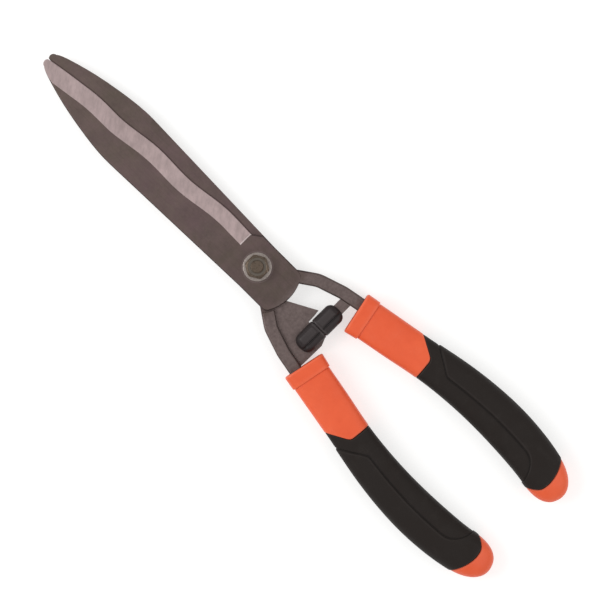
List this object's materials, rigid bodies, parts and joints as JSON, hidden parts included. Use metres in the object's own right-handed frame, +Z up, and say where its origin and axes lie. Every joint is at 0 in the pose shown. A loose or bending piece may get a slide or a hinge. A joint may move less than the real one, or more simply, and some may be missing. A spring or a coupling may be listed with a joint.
{
  "type": "hand shears",
  "caption": "Short-handled hand shears for grass and hedges: wavy-edged steel blades on a bolted pivot, rubber buffers between the tangs and soft-grip plastic handles.",
  "frame": {"origin": "centre of the pivot bolt head's underside, with the shears lying flat and closed", "axes": "+X towards the blade tips, +Z up along the pivot bolt, away from the surface it lies on, +Y towards the rear half's handle"},
  "size_m": [0.5141, 0.1322, 0.0301],
  "materials": {
    "blade_steel": "forged carbon steel, dark varnish on the faces and bright where it is ground",
    "dark_fastener": "dark zinc plating",
    "bright_fastener": "zinc plating, dulled by handling",
    "nylon": "smoked nylon",
    "buffer_rubber": "moulded black rubber",
    "orange_plastic": "satin orange polypropylene",
    "grip_rubber": "matt black soft-touch overmould"
  },
  "bodies": {
    "rear_half": {"rear_blade": "blade_steel", "pivot_bolt": "dark_fastener", "head_washer": "bright_fastener", "disc_spring": "bright_fastener", "nut_washer": "bright_fastener", "pivot_nut": "dark_fastener", "nut_insert": "nylon", "rear_buffer": "buffer_rubber", "rear_buffer_pin": "bright_fastener", "rear_handle_core": "orange_plastic", "rear_grip": "grip_rubber", "rear_tang_pin": "bright_fastener"},
    "front_half": {"front_blade": "blade_steel", "front_buffer": "buffer_rubber", "front_buffer_pin": "bright_fastener", "front_handle_core": "orange_plastic", "front_grip": "grip_rubber", "front_tang_pin": "bright_fastener"}
  },
  "joints": [
    {"name": "pivot", "type": "hinge", "parent": "rear_half", "child": "front_half", "pos_m": [0, 0, 0.0126], "axis": [0, 0, 1], "range_deg": [0, 65]}
  ]
}
